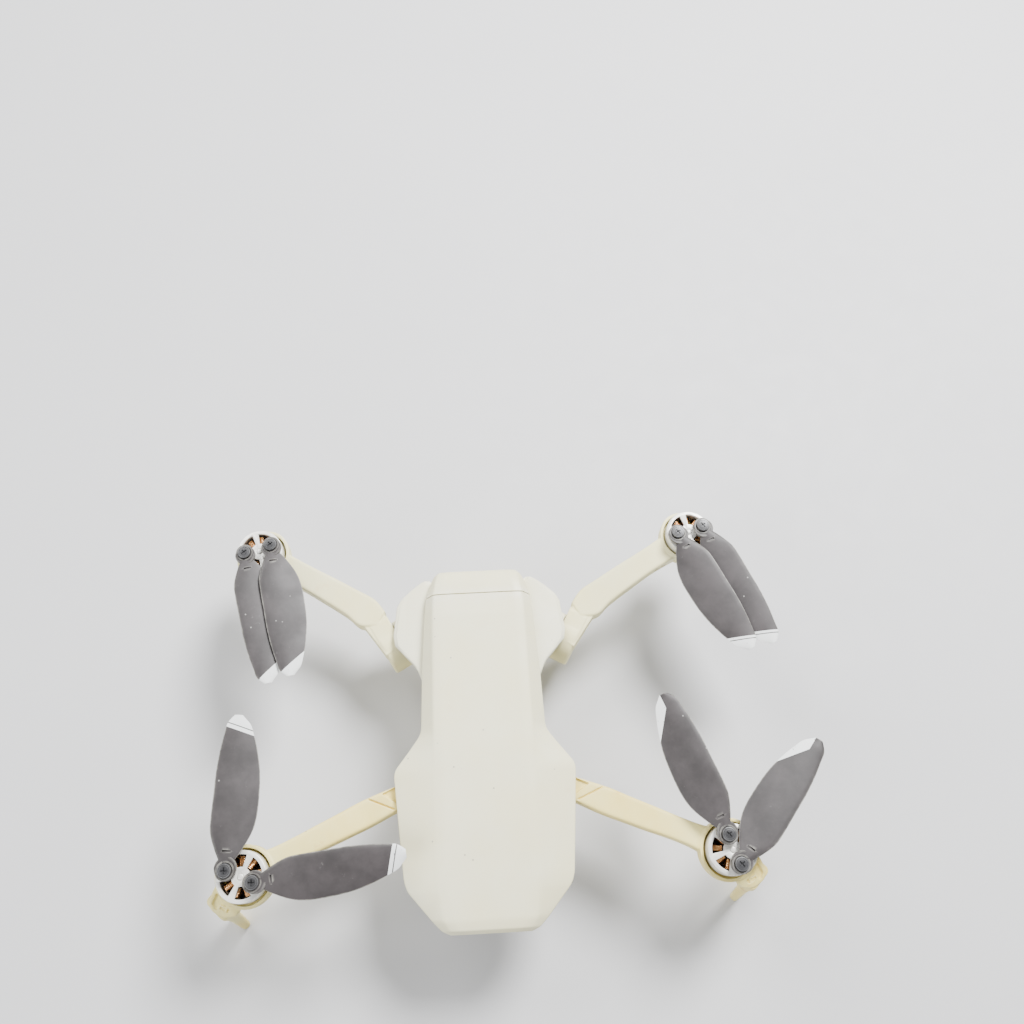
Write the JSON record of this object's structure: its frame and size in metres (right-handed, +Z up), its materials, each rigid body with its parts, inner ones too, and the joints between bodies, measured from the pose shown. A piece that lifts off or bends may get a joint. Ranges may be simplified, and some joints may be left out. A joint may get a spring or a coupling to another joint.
{
  "type": "folding camera quadcopter",
  "caption": "Folding quadcopter with a stabilised nose camera: hinged arms with motor cups, outrunner rotors, folding blades, landing legs and a hatch at the tail.",
  "frame": {"origin": "centre of the flat belly face of the bottom shell, 12 mm above the surface it stands on", "axes": "+X to the aircraft's left, +Y to its tail (the nose points along -Y), +Z up"},
  "size_m": [0.2264, 0.1568, 0.0556],
  "materials": {
    "shell_plastic": "fine matt moulding, ivory grey",
    "arm_plastic": "fine matt moulding, yellowed",
    "frame_plastic": "fine matt moulding, ivory grey",
    "grey_plastic": "fine matt moulding, dark grey",
    "blade_plastic": "satin, lightly scuffed",
    "bell_metal": "bright satin",
    "copper": "enamelled copper wire",
    "steel": "dark plated steel",
    "aluminium": "plain sheet",
    "circuit_board": "green resist",
    "rubber": "soft black",
    "lens_glass": "dark polished"
  },
  "bodies": {
    "airframe": {"top_shell": "shell_plastic", "mid_frame": "frame_plastic", "bottom_shell": "shell_plastic", "battery_pack": "grey_plastic", "main_board": "circuit_board", "heat_sink": "aluminium", "satellite_receiver": "circuit_board", "belly_sensor_window": "lens_glass", "charge_level_window": "lens_glass", "charging_port": "steel", "gimbal_damper_plate": "aluminium", "gimbal_damper_left": "rubber", "gimbal_damper_right": "rubber", "front_left_hinge_pin": "steel", "front_right_hinge_pin": "steel", "rear_left_hinge_shaft": "steel", "rear_right_hinge_shaft": "steel"},
    "door": {"battery_door": "shell_plastic"},
    "power_key": {"power_button": "grey_plastic"},
    "gimbal_yaw": {"gimbal_yaw_arm": "grey_plastic"},
    "gimbal_roll": {"gimbal_roll_arm": "grey_plastic"},
    "camera": {"camera_housing": "grey_plastic", "camera_lens": "lens_glass"},
    "front_left_boom": {"front_left_arm": "arm_plastic", "front_left_stator": "steel", "front_left_winding": "copper"},
    "front_left_rotor": {"front_left_bell": "bell_metal", "front_left_screw_a": "steel", "front_left_screw_b": "steel"},
    "front_left_prop_a": {"front_left_blade_a": "blade_plastic"},
    "front_left_prop_b": {"front_left_blade_b": "blade_plastic"},
    "front_right_boom": {"front_right_arm": "arm_plastic", "front_right_stator": "steel", "front_right_winding": "copper"},
    "front_right_rotor": {"front_right_bell": "bell_metal", "front_right_screw_a": "steel", "front_right_screw_b": "steel"},
    "front_right_prop_a": {"front_right_blade_a": "blade_plastic"},
    "front_right_prop_b": {"front_right_blade_b": "blade_plastic"},
    "rear_left_boom": {"rear_left_arm": "arm_plastic", "rear_left_stator": "steel", "rear_left_winding": "copper"},
    "rear_left_rotor": {"rear_left_bell": "bell_metal", "rear_left_screw_a": "steel", "rear_left_screw_b": "steel"},
    "rear_left_prop_a": {"rear_left_blade_a": "blade_plastic"},
    "rear_left_prop_b": {"rear_left_blade_b": "blade_plastic"},
    "rear_right_boom": {"rear_right_arm": "arm_plastic", "rear_right_stator": "steel", "rear_right_winding": "copper"},
    "rear_right_rotor": {"rear_right_bell": "bell_metal", "rear_right_screw_a": "steel", "rear_right_screw_b": "steel"},
    "rear_right_prop_a": {"rear_right_blade_a": "blade_plastic"},
    "rear_right_prop_b": {"rear_right_blade_b": "blade_plastic"}
  },
  "joints": [
    {"name": "front_left_arm_fold", "type": "hinge", "parent": "airframe", "child": "front_left_boom", "pos_m": [0.028, -0.036, 0.0235], "axis": [0, 0, 1], "range_deg": [0, 108]},
    {"name": "front_right_arm_fold", "type": "hinge", "parent": "airframe", "child": "front_right_boom", "pos_m": [-0.028, -0.036, 0.0235], "axis": [0, 0, -1], "range_deg": [0, 108]},
    {"name": "rear_left_arm_fold", "type": "hinge", "parent": "airframe", "child": "rear_left_boom", "pos_m": [0.036, 0.0245, 0.012], "axis": [-0.8746, 0.4848, 0], "range_deg": [0, 180]},
    {"name": "rear_right_arm_fold", "type": "hinge", "parent": "airframe", "child": "rear_right_boom", "pos_m": [-0.036, 0.0245, 0.012], "axis": [-0.8746, -0.4848, 0], "range_deg": [0, 180]},
    {"name": "front_left_motor_spin", "type": "hinge", "parent": "front_left_boom", "child": "front_left_rotor", "pos_m": [0.087, -0.0613, 0.035], "axis": [0, 0, 1], "continuous": true},
    {"name": "front_left_blade_a_swing", "type": "hinge", "parent": "front_left_rotor", "child": "front_left_prop_a", "pos_m": [0.08541, -0.05625, 0.0416], "axis": [0, 0, 1], "range_deg": [-32.5, 87.5]},
    {"name": "front_left_blade_b_swing", "type": "hinge", "parent": "front_left_rotor", "child": "front_left_prop_b", "pos_m": [0.08859, -0.06635, 0.0416], "axis": [0, 0, -1], "range_deg": [0, 213]},
    {"name": "front_right_motor_spin", "type": "hinge", "parent": "front_right_boom", "child": "front_right_rotor", "pos_m": [-0.087, -0.0613, 0.035], "axis": [0, 0, 1], "continuous": true},
    {"name": "front_right_blade_a_swing", "type": "hinge", "parent": "front_right_rotor", "child": "front_right_prop_a", "pos_m": [-0.09184, -0.05914, 0.0416], "axis": [0, 0, 1], "range_deg": [-21, 159]},
    {"name": "front_right_blade_b_swing", "type": "hinge", "parent": "front_right_rotor", "child": "front_right_prop_b", "pos_m": [-0.08216, -0.06346, 0.0416], "axis": [0, 0, -1], "range_deg": [-59.3, 120.7]},
    {"name": "rear_left_motor_spin", "type": "hinge", "parent": "rear_left_boom", "child": "rear_left_rotor", "pos_m": [0.087, 0.0613, 0.028], "axis": [0, 0, 1], "continuous": true},
    {"name": "rear_left_blade_a_swing", "type": "hinge", "parent": "rear_left_rotor", "child": "rear_left_prop_a", "pos_m": [0.08184, 0.06009, 0.0346], "axis": [0, 0, -1], "range_deg": [0, 192]},
    {"name": "rear_left_blade_b_swing", "type": "hinge", "parent": "rear_left_rotor", "child": "rear_left_prop_b", "pos_m": [0.09216, 0.06251, 0.0346], "axis": [0, 0, 1], "range_deg": [0, 169.6]},
    {"name": "rear_right_motor_spin", "type": "hinge", "parent": "rear_right_boom", "child": "rear_right_rotor", "pos_m": [-0.087, 0.0613, 0.028], "axis": [0, 0, 1], "continuous": true},
    {"name": "rear_right_blade_a_swing", "type": "hinge", "parent": "rear_right_rotor", "child": "rear_right_prop_a", "pos_m": [-0.09211, 0.05989, 0.0346], "axis": [0, 0, -1], "range_deg": [0, 175.6]},
    {"name": "rear_right_blade_b_swing", "type": "hinge", "parent": "rear_right_rotor", "child": "rear_right_prop_b", "pos_m": [-0.08189, 0.06271, 0.0346], "axis": [0, 0, 1], "range_deg": [0, 186.4]},
    {"name": "gimbal_pan", "type": "hinge", "parent": "airframe", "child": "gimbal_yaw", "pos_m": [0, -0.0625, 0.02], "axis": [0, 0, 1], "range_deg": [-20, 20]},
    {"name": "gimbal_roll_turn", "type": "hinge", "parent": "gimbal_yaw", "child": "gimbal_roll", "pos_m": [0, -0.0645, 0.009], "axis": [0, 1, 0], "range_deg": [-35, 35]},
    {"name": "camera_tilt", "type": "hinge", "parent": "gimbal_roll", "child": "camera", "pos_m": [0, -0.074, 0.009], "axis": [1, 0, 0], "range_deg": [-35, 110]},
    {"name": "battery_door_open", "type": "hinge", "parent": "airframe", "child": "door", "pos_m": [0, 0.047, 0.0046], "axis": [-1, 0, 0], "range_deg": [0, 95]},
    {"name": "power_button_press", "type": "slide", "parent": "airframe", "child": "power_key", "axis": [0, 0, 1], "range_m": [0, 0.0006], "stiffness_N_per_m": 800, "springref_m": -0.0005}
  ],
  "couplings": [
    {"joint": "rear_left_arm_fold", "follows": "front_left_arm_fold", "ratio": 1.6667},
    {"joint": "rear_right_arm_fold", "follows": "front_right_arm_fold", "ratio": 1.6667}
  ]
}
